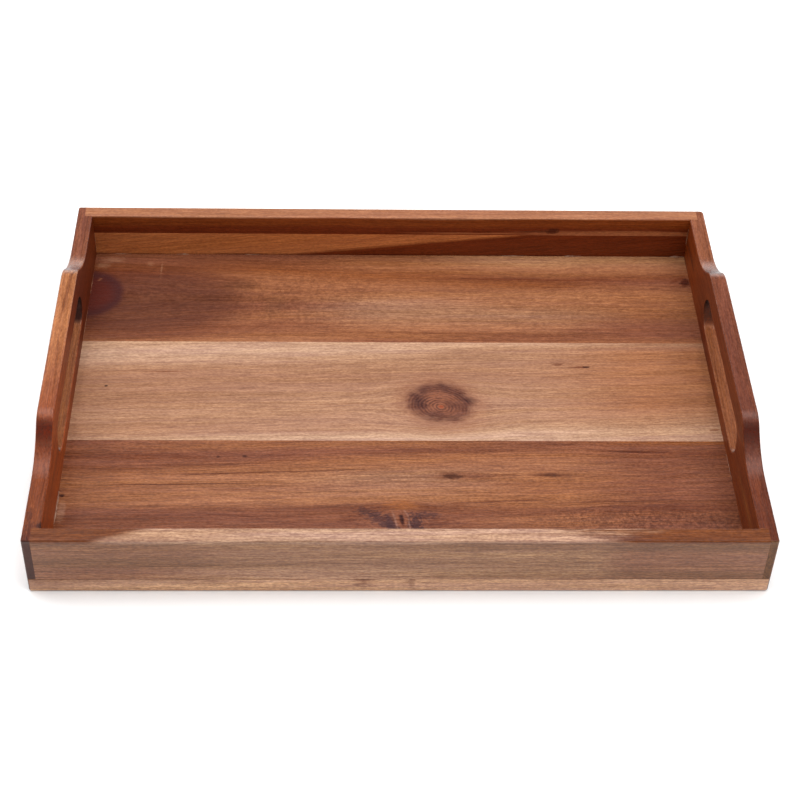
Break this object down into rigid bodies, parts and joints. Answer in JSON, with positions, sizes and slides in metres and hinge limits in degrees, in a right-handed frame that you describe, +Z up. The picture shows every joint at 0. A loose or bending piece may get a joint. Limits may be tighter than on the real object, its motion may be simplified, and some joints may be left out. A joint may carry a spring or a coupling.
{
  "type": "serving tray",
  "caption": "Low rectangular wooden serving tray with a flush plank base, low rails and raised side panels, each with a long rounded hand slot.",
  "frame": {"origin": "centre of the underside, on the surface that the tray stands on", "axes": "+X along the tray's long side towards the right side panel, +Y from the front rail to the back rail, +Z up"},
  "size_m": [0.42, 0.3, 0.057],
  "materials": {
    "acacia_front_board": "satin oil, reddish brown heartwood",
    "acacia_middle_board": "satin oil, pale pinkish tan with a knot",
    "acacia_back_board": "satin oil, brown with a purple knot",
    "acacia_front_rail": "satin oil, tan with a greyish front",
    "acacia_back_rail_lower": "satin oil, brown to dark red",
    "acacia_back_rail_upper": "satin oil, salmon tan to dark red",
    "acacia_left_side": "satin oil, orange brown",
    "acacia_right_side": "satin oil, red brown",
    "screw_steel": "zinc plated, semi-bright",
    "dried_glue": "thin beads of dried wood glue along the inner seams"
  },
  "bodies": {
    "root": {"base_board_front": "acacia_front_board", "base_board_middle": "acacia_middle_board", "base_board_back": "acacia_back_board", "front_rail": "acacia_front_rail", "back_rail_lower": "acacia_back_rail_lower", "back_rail_upper": "acacia_back_rail_upper", "left_side_panel": "acacia_left_side", "right_side_panel": "acacia_right_side", "base_screws": "screw_steel"}
  },
  "joints": []
}
